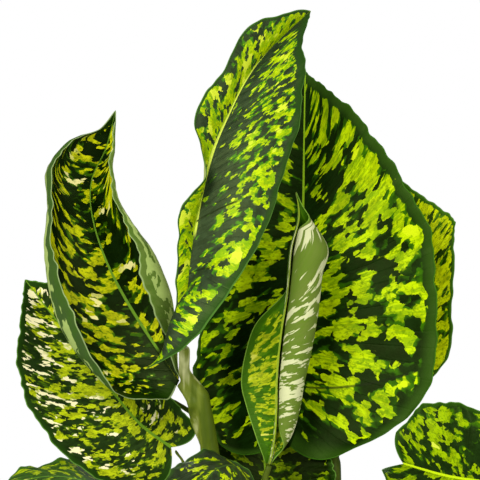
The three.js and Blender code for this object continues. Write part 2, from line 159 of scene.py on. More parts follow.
def half_blade(leaf, side, along, t):
    """One half of a blade's middle surface, rows along the rib by columns from the rib out to the edge.

    A leaf's lines are rib, left and right, with middle lines where it curls. Its other entries are wave,
    the rise of its margin's waves in millimetres, and waves, their number; scallop, how far the margin goes
    in and out with them as a share of the width, and teeth, its small uneven steps in millimetres; bend,
    how far each half bows, and round, how far the base's lobes reach back, as shares of the width;
    rib_round, how far the rib is rounded over, and quilt, the puff between the side veins, in millimetres;
    veins, the spread that side_veins reads; and base_band, how fast the plain base ends."""
    hand, lag, opposite = (-1, 1.3, "right") if side == "left" else (1, 0, "left")
    rib = line(leaf["rib"])
    root, edge = rib(along), line(leaf[side])(along)
    nudge = 1e-4
    tangent = unit(rib(np.minimum(along + nudge, 1)) - rib(np.maximum(along - nudge, 0)))
    reach = edge - root
    width = np.linalg.norm(reach, axis=1, keepdims=True)
    up = unit(np.cross(reach, tangent) * hand)
    phase = (leaf["waves"] * 2 * np.pi * along + lag)[:, None]
    far = along[:, None]
    fade = np.maximum(np.sin(np.pi * far), 0) ** 0.5
    scallops = reach * leaf["scallop"] * np.sin(phase + 1)
    teeth = np.sin(phase * 2.3 + 2) * 0.6 + np.sin(phase * 4.1 + lag) * 0.4
    edge = edge + scallops + unit(reach) * leaf.get("teeth", 0.8) * mm * teeth * fade
    if side + "_middle" in leaf:
        middle = line(leaf[side + "_middle"])(along)
    else:
        middle = (root + edge) / 2 + up * leaf["bend"] * width
    control = 2 * middle - root / 2 - edge / 2

    t = t[None, :, None]
    lobe_end = 0.3
    lobe_fade = np.maximum(0, 1 - far / lobe_end)[:, None] ** 2
    lobe = leaf["round"] * width[:, None] * 4 * t * (1 - t) * lobe_fade
    wave = leaf["wave"] * t ** 3 * np.sin(phase)[:, None]
    ruffle = 0.5 * t ** 5 * np.sin(phase * 3.1 + 0.7)[:, None]
    crown_width = 3.5 * mm
    crown_height = leaf.get("rib_round", 0) * mm
    reach_out = np.linalg.norm(edge - root, axis=1)[:, None, None] * t
    other_up = unit(np.cross(line(leaf[opposite])(along) - root, tangent) * -hand)
    crown = unit(up + other_up)[:, None] * crown_height * np.exp(-(reach_out / crown_width) ** 2)
    bow = root[:, None] * (1 - t) ** 2 + control[:, None] * 2 * t * (1 - t) + edge[:, None] * t ** 2
    rise = up[:, None] * mm * (wave + ruffle) * fade[:, None]
    return crown * fade[:, None] + (bow - tangent[:, None] * lobe + rise), width[:, 0]


def blade_mesh(name, grid, rib_column, along, facts, ridge=1.6 * mm):
    """A thin closed blade round a grid of points, its margin rounded and a ridge under its rib.

    The last row of the grid is the tip, one point. facts are per-point numbers kept as mesh attributes."""
    thickness = 0.8 * mm
    margin_thickness = 0.45
    margin_round = 0.3
    tip_thickness = 0.1
    rows, columns = grid.shape[0] - 1, grid.shape[1]
    body = grid[:rows]
    tip = grid[rows, 0]
    across = np.gradient(body, axis=1)
    ahead = np.gradient(grid, axis=0)[:rows]
    normal = unit(np.cross(across, ahead))
    from_margin = np.minimum(np.arange(columns), columns - 1 - np.arange(columns))
    plump = margin_thickness + (1 - margin_thickness) * np.minimum(from_margin, 3) / 3
    plump = plump[None, :, None]
    thinning = along[:rows, None, None]
    ridge_width = 2.6 * mm * (1 - 0.6 * thinning) + 0.4 * mm
    far = facts["reach"][..., None] / to_mm / ridge_width
    upper = body + normal * plump * thickness / 2
    lower = body - normal * (plump * thickness / 2 + ridge * (1 - thinning) * np.exp(-far ** 2))
    outward = unit(body[:, [0, -1]] - body[:, [1, -2]])
    sides = body[:, [0, -1]] + outward * thickness * margin_round
    front = body[0, 1:-1] + unit(body[0, 1:-1] - body[1, 1:-1]) * thickness * margin_round
    tip_half = normal[-1, rib_column] * thickness * tip_thickness
    verts = np.vstack([upper.reshape(-1, 3), lower.reshape(-1, 3), [tip + tip_half], [tip - tip_half],
                       sides[:, 0], sides[:, 1], front])

    count = rows * columns
    tip_upper, tip_lower = 2 * count, 2 * count + 1
    left, right, base = 2 * count + 2, 2 * count + 2 + rows, 2 * count + 2 + 2 * rows
    row, column = np.meshgrid(np.arange(rows - 1), np.arange(columns - 1), indexing="ij")
    corner = (row * columns + column).ravel()
    squares = np.stack([corner, corner + 1, corner + 1 + columns, corner + columns], axis=1)
    faces = squares.tolist() + (squares[:, ::-1] + count).tolist()
    last = (rows - 1) * columns
    for k in range(last, last + columns - 1):
        faces += [(k, k + 1, tip_upper), (k + 1 + count, k + count, tip_lower)]
    # The border, from the base's left corner: points of the upper face with their outermost points.
    round_right = [(0, left)] + [(k, base + k - 1) for k in range(1, columns - 1)]
    round_right += [(r * columns + columns - 1, right + r) for r in range(rows)]
    for (p, m), (q, n) in zip(round_right, round_right[1:]):
        faces += [(p, m, n, q), (m, p + count, q + count, n)]
    up_left = [(r * columns, left + r) for r in range(rows)]
    for (p, m), (q, n) in zip(up_left, up_left[1:]):
        faces += [(q, n, m, p), (n, q + count, p + count, m)]
    p, m = round_right[-1]
    faces += [(p, m, tip_upper), (m, tip_lower, tip_upper), (m, p + count, tip_lower)]
    p, m = up_left[-1]
    faces += [(tip_upper, m, p), (tip_upper, tip_lower, m), (tip_lower, p + count, m)]

    mesh = bpy.data.meshes.new(name)
    mesh.from_pydata(verts.tolist(), [], faces)
    mesh.validate()
    under = np.full(len(verts), 0.5)
    under[:count], under[count:2 * count] = 0, 1
    under[tip_upper], under[tip_lower] = 0, 1
    point_facts = {"under": under}
    for fact, values in facts.items():
        both = np.tile(values.reshape(-1), 2)
        end = values[-1, rib_column]
        point_facts[fact] = np.concatenate([both, [end, end], values[:, 0], values[:, -1], values[0, 1:-1]])
    for fact, values in point_facts.items():
        mesh.attributes.new(fact, "FLOAT", "POINT").data.foreach_set("value", values.astype(np.float32))
    mesh.shade_smooth()
    return new_object(name, mesh)


def side_veins(along, share, spread, length, width):
    """For each point, the place on the rib where its side vein starts, and how far along the vein it lies.

    spread says how far the veins from the base, the quarters and the tip climb on their way out, as shares
    of the leaf's length."""
    quarters = (0, 0.25, 0.5, 0.75, 1)
    starts = np.linspace(-0.6, 1.6, 400)
    climb = np.interp(starts, quarters, spread)
    vein = np.empty((len(along), share.shape[1]))
    for column, t in enumerate(np.abs(share[0])):
        vein[:, column] = np.interp(along, starts + climb * t ** 1.35, starts)
    slope = np.interp(vein, quarters, spread) * length / np.maximum(width, 4 * mm)
    run = np.empty_like(vein)
    start = vein * length
    for half in (share[0] < 0, share[0] >= 0):
        lean = math.atan(np.mean(np.clip(slope[:, half], -1, 2.2)))
        start[:, half] *= math.cos(lean)
        run[:, half] = (np.abs(share) * width)[:, half] / math.cos(lean) + start[:, half] * math.tan(lean)
    return start, run


def blade_facts(along, share, **lengths):
    """What a skin reads at each point but the tip: lengths in millimetres, side of the rib and shares."""
    whole = np.ones((len(along), share.shape[1]))
    facts = {name: length * to_mm for name, length in lengths.items()}
    facts.update(side=np.sign(share) * whole, share=np.abs(share) * whole, along=along[:, None] * whole)
    return {name: values[:-1] for name, values in facts.items()}


def blade(name, leaf):
    """A leaf blade from its lines, with its side veins pressed in and the skin between them puffed."""
    rows, columns = 170, 40
    along = np.linspace(0, 1, rows + 1)
    t = (np.arange(columns + 1) / columns) ** 1.35
    left, left_width = half_blade(leaf, "left", along, t)
    right, right_width = half_blade(leaf, "right", along, t)
    grid = np.concatenate([left[:, :0:-1], right], axis=1)
    share = np.concatenate([-t[:0:-1], t])[None, :]
    out = np.abs(share)
    length = np.linalg.norm(np.diff(right[:, 0], axis=0), axis=1).sum()
    width = np.where(share < 0, left_width[:, None], right_width[:, None])
    reach = out * width
    vein, run = side_veins(along, share, leaf["veins"], length, width)
    stalk_share = 0.12
    base_gap = along[:, None] * length * leaf.get("base_band", 1) + np.maximum(0, stalk_share - out) * 2
    margin = np.minimum((1 - out) * width, base_gap)
    facts = blade_facts(along, share, vein=vein, run=run, reach=reach, margin=margin)

    vein_pitch = 7.5 * mm
    puff = np.abs(np.sin(np.pi * vein / vein_pitch + (share > 0) * 1.1)) ** 0.7 - 0.6
    calm = np.minimum(1, margin / (10 * mm)) * np.minimum(1, reach / (8 * mm)) * (1 - along[:, None] ** 4)
    normal = unit(np.cross(np.gradient(grid, axis=1), np.gradient(grid, axis=0)))
    grid = grid + normal * (puff * calm * leaf.get("quilt", 0.35) * mm)[..., None]
    grid[-1] = right[-1, 0]
    return blade_mesh(name, grid, columns, along, facts)


def paint(*colour):
    """A colour in 0 to 255 as the eye sees it, made linear for a shader."""
    return tuple(((c / 255 + 0.055) / 1.055) ** 2.4 if c > 10 else c / 255 / 12.92 for c in colour) + (1,)


def lay_on(tree, surface, colour, relief, strength, depth):
    """Gives a surface its colour and its relief, depth metres deep."""
    bump = add_node(tree, "Bump", {"Height": relief, "Strength": strength, "Distance": depth})
    tree.links.new(colour, surface.inputs["Base Color"])
    tree.links.new(bump.outputs["Normal"], surface.inputs["Normal"])


def leaf_skin(name, dark, middle, lime, cream, rim, rib, seed, edge=(95, 140, 50), share=0.5,
              left_share=0.0, creamy=(-0.06, 0.05, 0), grain=2.6, stretch=1.9, shade=0.0, band=(3, 3),
              band_base=0.0, bare=(0, 0, 0), bare_base=(0, 0), shaded_creases=(), rib_width=1.5, rib_from=-1.0,
              under=(92, 114, 50), shaded_under_left=(86, 109, 50), under_spots=(178, 190, 106),
              under_share=(0, 0, 0), under_left_share=0.0, gloss=0.4, shine=0.1):
    """Leaf skin with blotches of small angular cells that are drawn out along the side veins.

    Colours: dark is the ground, middle the fringes, lime the blotches and cream the palest of them; rim and
    edge are the plain margin and its outermost line, and a pale edge is a painted highlight along the
    margin;
    under, shaded_under_left and under_spots are the underside's, shaded_under_left painting the left half's
    underside darker as shade. Creases are painted as dark lines of shade.
    share says how much the blotches cover, and left_share how much more on the left. creamy is where cream
    takes over: everywhere, outwards and towards the tip. grain is their size in millimetres, stretch how
    long they are, shade how strong their second tone is, and seed shifts them. band is the plain margin's
    width on the left and right in millimetres, and band_base how much wider it is at the base. bare is a
    reach from the rib in millimetres, with how far blotches are held back there on the left and right, and
    bare_base the same for a share of the length at the base. A crease has a start, a lean and an end. The
    rib's colour starts at rib_from. under_share and under_left_share say how many more spots the underside
    has at the base, in the middle, at the tip, and on the left. gloss is the upper face's roughness."""
    material, tree, skin = new_material(name)

    def fact(which):
        return add_node(tree, "Attribute", attribute_name=which).outputs["Fac"]

    def maths(how, a, b, c=0.0):
        return add_node(tree, "Math", {0: a, 1: b, 2: c}, operation=how).outputs[0]

    def vectors(how, inputs):
        return add_node(tree, "VectorMath", inputs, operation=how).outputs[0]

    def step(value, low, high, to_low=0.0, to_high=1.0):
        inputs = {"Value": value, "From Min": low, "From Max": high, "To Min": to_low, "To Max": to_high}
        return add_node(tree, "MapRange", inputs, interpolation_type="SMOOTHSTEP").outputs["Result"]

    def mix(amount, a, b):
        return add_node(tree, "Mix", {0: amount, 6: a, 7: b}, data_type="RGBA").outputs[2]

    def noise(where, scale, detail=2.0, roughness=0.5, which="Fac"):
        inputs = {"Vector": where, "Scale": scale, "Detail": detail, "Roughness": roughness}
        return add_node(tree, "TexNoise", inputs).outputs[which]

    facts = ("vein", "run", "reach", "margin", "side", "along", "share", "under")
    vein, run, reach, margin, side, along, out, below = (fact(which) for which in facts)
    below = step(below, 0.45, 0.55)

    def by_side(left, right):
        return step(side, -0.1, 0.1, left, right)

    # Where a point is, counted in grains, and the small cell that it belongs to.
    halves_apart = 7.3
    place = add_node(tree, "CombineXYZ", {
        "X": maths("MULTIPLY", vein, 1 / grain), "Y": maths("MULTIPLY", run, 1 / (grain * stretch)),
        "Z": maths("MULTIPLY_ADD", side, halves_apart, seed)}).outputs[0]
    drift = noise(place, 0.8, 3.0, 0.6, "Color")
    shifted = vectors("MULTIPLY_ADD", {0: drift, 1: (1.1, 1.1, 0.0), 2: place})
    cell_scale = 1.25
    cells = add_node(tree, "TexVoronoi", {"Vector": shifted, "Scale": cell_scale}).outputs["Position"]
    centres = vectors("SCALE", {0: cells, "Scale": 1 / cell_scale})
    near_centres = vectors("ADD", {0: centres, 1: shifted})

    # How blotched a point is: from a half up, it lies in a blotch.
    blotch_edge = (0.5, 0.515)
    swing = 0.26
    cover = maths("MULTIPLY", noise(near_centres, 0.25, 2.0, 0.55), 0.75)
    cover = maths("MULTIPLY_ADD", noise(centres, 0.85, 1), 0.25, cover)
    cover = maths("ADD", cover, share - 0.5 - swing / 2)
    cover = maths("MULTIPLY_ADD", noise(place, 0.085, 1), swing, cover)
    towards_base = maths("POWER", maths("SUBTRACT", 1, along), 2)
    band_here = maths("MULTIPLY", maths("MULTIPLY_ADD", towards_base, band_base, 1.0), by_side(*band))
    rim_place = maths("DIVIDE", margin, band_here)
    cover = maths("SUBTRACT", cover, step(rim_place, 0.2, 1.5, 0.34, 0.0))
    if left_share:
        cover = maths("ADD", cover, by_side(left_share, 0.0))
    if bare[0]:
        bare_place = step(reach, bare[0] * 0.3, bare[0], 1.0, 0.0)
        cover = maths("SUBTRACT", cover, maths("MULTIPLY", bare_place, by_side(bare[1], bare[2])))
    if bare_base[0]:
        cover = maths("SUBTRACT", cover, step(along, bare_base[0] * 0.7, bare_base[0], bare_base[1], 0.0))

    # The ground with its fringes, and the blotches in their tones.
    tone = noise(place, 0.5, 4.0, 0.7)
    fine = noise(place, 2.0, 3.0, 0.7)
    fringe = maths("MULTIPLY", step(cover, 0.44, blotch_edge[0]), step(noise(centres, 0.4, 1), 0.44, 0.54))
    ground = mix(step(tone, 0.35, 0.65), paint(*dark), paint(*(c * 1.3 + 4 for c in dark)))
    ground = mix(step(rim_place, 0.3, 1.8, 1.0, 0.0), ground, paint(*rim))
    ground = mix(fringe, ground, paint(*middle))
    bright = mix(step(tone, 0.4, 0.6), paint(*lime), paint(*(c * 0.82 for c in lime)))
    bright = mix(step(fine, 0.5, 0.62, 0.0, 0.55), bright, paint(*middle))
    if shade:
        streaks = noise(vectors("MULTIPLY", {0: place, 1: (3.2, 0.35, 1.0)}), 1.1, 2.0)
        shaded = maths("MULTIPLY_ADD", streaks, 0.5, maths("MULTIPLY", noise(centres, 0.55, 1), 0.6))
        second_tone = paint(*(m * 0.6 + c * 0.4 for m, c in zip(middle, lime)))
        bright = mix(step(shaded, 0.54, 0.62, 0.0, shade), bright, second_tone)
    pale = maths("MULTIPLY_ADD", out, creamy[1], noise(centres, 0.33, 1))
    pale = maths("MULTIPLY_ADD", along, creamy[2], maths("ADD", pale, creamy[0]))
    bright = mix(step(pale, 0.66, 0.72), bright, paint(*cream))
    coat = mix(step(cover, *blotch_edge), ground, bright)

    # The outermost line, which is a painted highlight where its colour is pale, the rib, and the creases
    # darkened as painted shade.
    # The outermost line; where its colour is pale, as on the cupped leaf, it is a painted highlight along
    # the margin.
    edge_line_and_highlight = step(margin, 0.25, 0.8, 0.8, 0.0)
    coat = mix(edge_line_and_highlight, coat, paint(*edge))
    rib_place = maths("DIVIDE", reach, maths("MULTIPLY_ADD", along, -0.55 * rib_width, rib_width))
    rib_start = step(along, rib_from - 0.01, rib_from + 0.02)
    coat = mix(maths("MULTIPLY", step(rib_place, 0.65, 1.05, 1.0, 0.0), rib_start), coat, paint(*rib))
    # Each crease darkens a thin line on the right half: painted shade where the blade folds.
    crease_shade = 0.0
    for start, lean, end in shaded_creases:
        gap = maths("ABSOLUTE", maths("MULTIPLY_ADD", out, lean, maths("SUBTRACT", along, start)), 0.0)
        crease = maths("MULTIPLY", step(gap, 0.0012, 0.0036, 1.0, 0.0), step(out, end * 0.8, end, 1.0, 0.0))
        crease_shade = maths("MAXIMUM", maths("MULTIPLY", crease, by_side(0.0, 1.0)), crease_shade)
        coat = mix(maths("MULTIPLY", crease_shade, 0.75), coat, paint(16, 26, 10))

    # The underside: duller, with paler spots where the blotches are, and its left half painted darker as
    # shade.
    back = mix(by_side(0.0, 1.0), paint(*shaded_under_left), paint(*under))
    back = mix(step(tone, 0.35, 0.65, 0.0, 0.35), back, paint(*middle))
    more = maths("ADD", step(along, 0.1, 0.6, under_share[0], under_share[1]),
                 step(along, 0.72, 0.92, 0.0, under_share[2] - under_share[1]))
    if under_left_share:
        more = maths("ADD", more, by_side(under_left_share, 0.0))
    spots = step(maths("ADD", cover, more), *blotch_edge)
    back = mix(maths("MULTIPLY", spots, 0.85), back, paint(*under_spots))
    back = mix(edge_line_and_highlight, back, paint(*edge))

    # A waxy shine above, a duller skin below, and the relief of veins, grain and rib.
    roughness = maths("MULTIPLY_ADD", tone, 0.12, step(below, 0.0, 1.0, gloss - 0.06, 0.55))
    tree.links.new(roughness, skin.inputs["Roughness"])
    skin.inputs["Specular IOR Level"].default_value = shine
    skin.inputs["Specular Tint"].default_value = paint(225, 255, 150)
    furrow_pitch = 5.5
    furrow = maths("ABSOLUTE", maths("SINE", maths("MULTIPLY", vein, math.pi / furrow_pitch), 0.0), 0.0)
    relief = maths("MULTIPLY_ADD", step(furrow, 0.0, 0.3), 0.14, maths("MULTIPLY", fine, 0.16))
    relief = maths("MULTIPLY_ADD", tone, 0.25, relief)
    relief = maths("MULTIPLY_ADD", step(rib_place, 0.5, 1.4), 0.25, relief)
    lay_on(tree, skin, mix(below, coat, back), relief, 0.6, mm)
    return material


def leaf_piece(name, node, leaf, skin):
    """The finished blade, in the place of its CAD node."""
    made = blade(name, leaf)
    made.data.materials.append(skin)
    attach(made, "root")
    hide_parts(node)


tall_front = {
    "wave": 1, "waves": 6, "scallop": 0.015, "bend": 0.06, "round": 0, "rib_round": 1.6, "base_band": 5,
    "veins": (0.0, -0.05, -0.06, -0.06, -0.02),
    "rib": [
        (-62, -36, 349), (-61, -42, 363), (-59, -47, 382), (-59, -50, 404), (-56, -50, 430),
        (-51, -47, 459), (-43, -42, 489), (-33, -35, 514), (-19, -26, 543), (-1, -14, 568), (32, 2, 600),
    ],
    "left": [
        (-66, -32, 352), (-66, -35, 358), (-67, -38, 365), (-68, -42, 372), (-68, -46, 382),
        (-68, -52, 396), (-67, -58, 412), (-67, -63, 431), (-65, -66, 449), (-56, -65, 462),
        (-47, -62, 475), (-50, -57, 498), (-54, -52, 516), (-47, -46, 536), (-38, -41, 547),
        (-27, -36, 565), (-20, -30, 580), (-6, -23, 592), (10, -15, 596), (22, -6, 600), (32, 2, 600),
    ],
    "right_middle": [
        (-76, -54, 343), (-75, -64, 358), (-63, -65, 382), (-33, -62, 418), (-21, -57, 454),
        (-14, -50, 487), (-8, -42, 515), (-3, -34, 537), (6, -25, 562), (16, -12, 580), (32, 2, 600),
    ],
    "right": [
        (-90, -62, 333), (-61, -74, 350), (-34, -74, 382), (-8, -64, 424), (9, -52, 469), (21, -42, 509),
        (26, -32, 539), (27, -24, 560), (26, -16, 579), (30, -7, 591), (32, 2, 600),
    ],
}
# Its two creases on the right half are painted as dark lines of shade.
leaf_piece("tall_front_blade", "leaf_tall_front", tall_front, leaf_skin(
    "tall_front_skin", dark=(32, 44, 26), middle=(66, 128, 8), lime=(184, 209, 2), cream=(204, 218, 50),
    share=0.495, creamy=(-0.04, 0.1, 0.06), grain=2.3, stretch=2.0, shade=0.7, seed=1, band=(2, 8),
    band_base=-0.8, bare=(30, -0.08, 0.12), shaded_creases=((0.44, 0.06, 0.5), (0.295, 0.05, 0.5)),
    rim=(34, 66, 18), edge=(80, 125, 45), rib=(206, 222, 78), rib_width=3.4, rib_from=0.4, shine=0.17))

# ---------------------------------------------------------------- cupped left leaf
# An upright living blade on its own stalk, its two margins curled forward, so that their underside shows.
# Very dark green with yellow-olive blotches; the pale line along its margins is a painted highlight, and
# the underside of its left half is painted darker as shade. A middle line on each side gives the curl from
# rib to edge.
cupped_left = {
    "wave": 1.2, "waves": 7, "scallop": 0.015, "bend": 0, "round": 0, "veins": (0.3, 0.65, 0.6, 0.2, 0),
    "rib": [
        (-67, -26, 324), (-82, -14, 346), (-105, -4, 381), (-122, 2, 414), (-132, 4, 447), (-132, 2, 473),
        (-121, -4, 497), (-114, -10, 525),
    ],
    "left_middle": [
        (-72, -26, 312), (-98, -23, 321), (-121, -20, 331), (-138, -20, 346), (-151, -20, 364),
        (-158, -19, 385), (-162, -18, 407), (-163, -16, 425), (-162, -14, 441), (-161, -13, 456),
        (-163, -12, 474), (-156, -12, 489), (-143, -12, 502), (-125, -11, 510), (-114, -10, 525),
    ],
    "left": [
        (-76, -30, 310), (-95, -37, 310), (-113, -44, 316), (-129, -49, 340), (-142, -52, 368),
        (-150, -51, 388), (-156, -48, 406), (-160, -42, 423), (-161, -36, 441), (-160, -31, 462),
        (-160, -26, 484), (-151, -21, 496), (-141, -16, 505), (-125, -13, 511), (-114, -10, 525),
    ],
    "right_middle": [
        (-67, -24, 327), (-69, -25, 356), (-74, -26, 391), (-90, -26, 422), (-110, -24, 450),
        (-117, -18, 476), (-115, -12, 499), (-114, -10, 525),
    ],
    "right": [
        (-69, -27, 331), (-78, -42, 361), (-92, -48, 394), (-98, -44, 424), (-112, -36, 453),
        (-118, -24, 480), (-116, -14, 503), (-114, -10, 525),
    ],
}
# Its pale edge is a painted highlight along the curled margins, and its darker left underside is painted
# shade.
leaf_piece("cupped_left_blade", "leaf_cupped_left", cupped_left, leaf_skin(
    "cupped_left_skin", dark=(5, 20, 0), middle=(56, 100, 0), lime=(200, 204, 10), cream=(240, 230, 150),
    share=0.48, left_share=0.012, creamy=(-0.04, 0.1, 0.1), grain=1.8, stretch=3.0, seed=12, band=(5, 4),
    bare_base=(0.3, 0.05), rim=(20, 46, 0), edge=(150, 170, 110), rib=(108, 150, 40), rib_width=0.7,
    rib_from=0.14, under=(92, 114, 46), shaded_under_left=(58, 82, 34), under_spots=(166, 186, 102),
    under_share=(0.09, 0.09, 0.05), under_left_share=-0.06))

# ---------------------------------------------------------------- lower left leaf
# A large living blade behind the cupped one, leaning out to the left on its own stalk. Dark green, with
# blotches that are cream-white towards the tip. Made between its rib and edge lines, its base's lobes
# reaching back.
lower_left = {
    "wave": 1.6, "waves": 6, "scallop": 0.015, "bend": -0.08, "round": 0.22,
    "veins": (0.1, 0.14, 0.12, 0.05, 0),
    "rib": [
        (-73, 12, 272), (-96, 15, 289), (-116, 20, 312), (-139, 24, 342), (-163, 28, 371), (-184, 32, 398),
    ],
    "left": [
        (-90, -4, 241), (-135, -2, 253), (-173, 2, 292), (-188, 8, 332), (-186, 20, 374), (-184, 32, 398),
    ],
    "right": [
        (-54, 6, 288), (-74, 14, 310), (-106, 20, 340), (-130, 24, 369), (-157, 26, 392), (-184, 32, 398),
    ],
}
leaf_piece("lower_left_blade", "leaf_lower_left", lower_left, leaf_skin(
    "lower_left_skin", dark=(22, 38, 10), middle=(76, 108, 8), lime=(186, 200, 20), cream=(248, 238, 186),
    creamy=(-0.09, 0.22, 0.26), grain=1.7, stretch=2.2, seed=21, band=(3.5, 4), rim=(30, 60, 10),
    rib=(104, 146, 34), rib_width=1.2, shine=0.06))

# ---------------------------------------------------------------- broad right leaf
# The widest living blade, upright behind the tall one, held by a stout stalk that meets it from behind.
# Deep green with lime blotches drawn out along its side veins, thinned on its left half as painted shade,
# and a fold across its low right lobe painted as a dark line of shade.
broad_right = {
    "wave": 1.8, "waves": 7, "scallop": 0.012, "teeth": 1.1, "quilt": 0.2, "bend": -0.05, "round": 0.2,
    "veins": (-0.1, -0.02, 0.06, 0.08, 0),
    "rib": [
        (12, 14, 278), (20, 24, 336), (24, 34, 395), (27, 44, 449), (28, 54, 503), (29, 62, 557),
    ],
    "left": [
        (-36, 2, 275), (-55, 0, 313), (-50, 8, 367), (-35, 24, 448), (-4, 42, 512), (29, 62, 557),
    ],
    "right": [
        (56, 3, 268), (98, 2, 289), (125, 4, 329), (126, 10, 379), (125, 18, 424), (108, 28, 464),
        (88, 38, 496), (70, 46, 521), (50, 54, 540), (37, 60, 550), (29, 62, 557),
    ],
}
# left_share thins the blotches on its left half as painted shade, where the tall leaf shadows it.
leaf_piece("broad_right_blade", "leaf_broad_right", broad_right, leaf_skin(
    "broad_right_skin", dark=(8, 26, 0), middle=(50, 100, 0), lime=(190, 218, 0), cream=(204, 224, 16),
    share=0.522, left_share=-0.045, grain=3.4, stretch=2.4, shade=0.6, seed=42, band=(2, 6), band_base=0.6,
    bare=(14, 0.1, 0.1), bare_base=(0.2, 0.03), shaded_creases=((0.14, -0.07, 0.97),), rim=(42, 72, 14),
    edge=(60, 110, 20), rib=(140, 180, 30), rib_width=1.7, shine=0.06))

# ---------------------------------------------------------------- leaf behind at the right
# A brighter yellow-green living blade on its own stalk, most of it hidden by the broad one. Made between
# its rib and edge lines.
behind_right = {
    "wave": 1.5, "waves": 5, "scallop": 0.01, "bend": 0, "round": 0.1, "veins": (0, 0.05, 0.05, 0.03, 0),
    "rib": [
        (90, 60, 302), (96, 72, 351), (101, 82, 405), (101, 88, 476),
    ],
    "left": [
        (71, 56, 310), (59, 64, 359), (65, 76, 420), (101, 88, 476),
    ],
    "right": [
        (109, 60, 306), (138, 66, 338), (142, 72, 382), (144, 78, 428), (142, 82, 446), (122, 86, 460),
        (101, 88, 476),
    ],
}
leaf_piece("behind_right_blade", "leaf_behind_right", behind_right, leaf_skin(
    "behind_right_skin", dark=(24, 48, 0), middle=(70, 120, 0), lime=(214, 230, 0), cream=(215, 225, 70),
    share=0.55, seed=51, band=(2.5, 2.5), rim=(50, 96, 6), rib=(150, 190, 30)))

# ---------------------------------------------------------------- bottom right leaf
# A living blade that reaches forward and right, its bright rib nearly level, on a stalk that meets the rib
# from behind. Dark green with lime blotches. Made between its rib and edge lines, as are the blades below.
low_habit = {"wave": 1.5, "waves": 5, "scallop": 0.01, "bend": 0, "round": 0.1,
             "veins": (-0.05, 0.08, 0.2, 0.17, 0)}
bottom_right = {
    **low_habit, "bend": -0.05, "round": 0.15,
    "rib": [
        (101, -20, 261), (134, -40, 253), (170, -62, 249), (205, -84, 244), (234, -104, 236),
    ],
    "left": [
        (96, -4, 284), (121, -2, 306), (161, -22, 300), (203, -60, 277), (234, -104, 236),
    ],
    "right": [
        (84, -44, 258), (100, -70, 223), (146, -90, 206), (196, -104, 214), (234, -104, 236),
    ],
}
leaf_piece("bottom_right_blade", "leaf_bottom_right", bottom_right, leaf_skin(
    "bottom_right_skin", dark=(16, 34, 4), middle=(56, 100, 0), lime=(150, 180, 0), cream=(215, 225, 70),
    share=0.49, seed=61, rim=(36, 72, 6), rib=(194, 224, 16)))

# ---------------------------------------------------------------- bottom front leaf
# A dark glossy living blade on its own stalk that arches forward over the pot. Its blotches are few, large
# and hardly drawn out.
bottom_front = {
    **low_habit,
    "rib": [
        (-5, -50, 236), (-22, -72, 261), (-40, -100, 260), (-57, -122, 235), (-73, -132, 199),
    ],
    "left": [
        (-8, -74, 229), (-14, -104, 240), (-24, -128, 227), (-45, -138, 208), (-73, -132, 199),
    ],
    "right": [
        (-14, -46, 258), (-47, -56, 273), (-75, -80, 254), (-86, -108, 226), (-73, -132, 199),
    ],
}
leaf_piece("bottom_front_blade", "leaf_bottom_front", bottom_front, leaf_skin(
    "bottom_front_skin", dark=(34, 44, 26), middle=(56, 96, 0), lime=(200, 222, 6), cream=(215, 225, 70),
    share=0.445, grain=3.8, stretch=1.1, seed=71, rim=(44, 70, 24), rib=(62, 90, 36), rib_width=1,
    shine=0.16))

# ---------------------------------------------------------------- bottom left leaf
# A living blade on its own stalk that reaches out to the left, seen nearly edge-on from the front. Lighter
# green and duller than the rest.
bottom_left = {
    **low_habit, "wave": 2.2, "waves": 4,
    "rib": [
        (-112, -12, 234), (-136, -10, 247), (-163, -8, 251), (-190, -6, 245), (-213, -4, 232),
    ],
    "left": [
        (-113, -40, 231), (-139, -56, 240), (-168, -52, 242), (-195, -30, 239), (-213, -4, 232),
    ],
    "right": [
        (-120, 14, 243), (-148, 34, 260), (-180, 36, 256), (-202, 18, 245), (-213, -4, 232),
    ],
}
leaf_piece("bottom_left_blade", "leaf_bottom_left", bottom_left, leaf_skin(
    "bottom_left_skin", dark=(44, 74, 14), middle=(66, 112, 6), lime=(178, 200, 10), cream=(225, 225, 110),
    share=0.46, creamy=(-0.04, 0.1, 0), seed=81, rim=(64, 112, 22), rib=(110, 160, 40), gloss=0.6,
    shine=0.03))

# ---------------------------------------------------------------- low middle leaf
# A small dark speckled living blade on its own short stalk, behind the rolled one, in the shade of the
# leaves above it.
low_middle = {
    **low_habit,
    "rib": [
        (0, 26, 212), (-1, 30, 244), (-4, 34, 273), (-8, 42, 300),
    ],
    "left": [
        (-21, 20, 216), (-46, 20, 254), (-38, 28, 284), (-8, 42, 300),
    ],
    "right": [
        (28, 14, 212), (50, 6, 244), (40, 13, 272), (-8, 42, 300),
    ],
}
leaf_piece("low_middle_blade", "leaf_low_middle", low_middle, leaf_skin(
    "low_middle_skin", dark=(10, 22, 0), middle=(46, 76, 0), lime=(130, 155, 0), cream=(195, 205, 70),
    share=0.47, seed=91, rim=(30, 60, 6), rib=(130, 170, 30)))

# ---------------------------------------------------------------- back and low leaves
# Six plainer living blades at the back and low down, one skin for all with its own blotches on each. Each
# leaves its stalk along a heading, rises and then droops. Its lines come from its length and half width.
arching_widths = (0.45, 0.9, 1, 0.82, 0.48, 0)
arching_sweep = 0.16


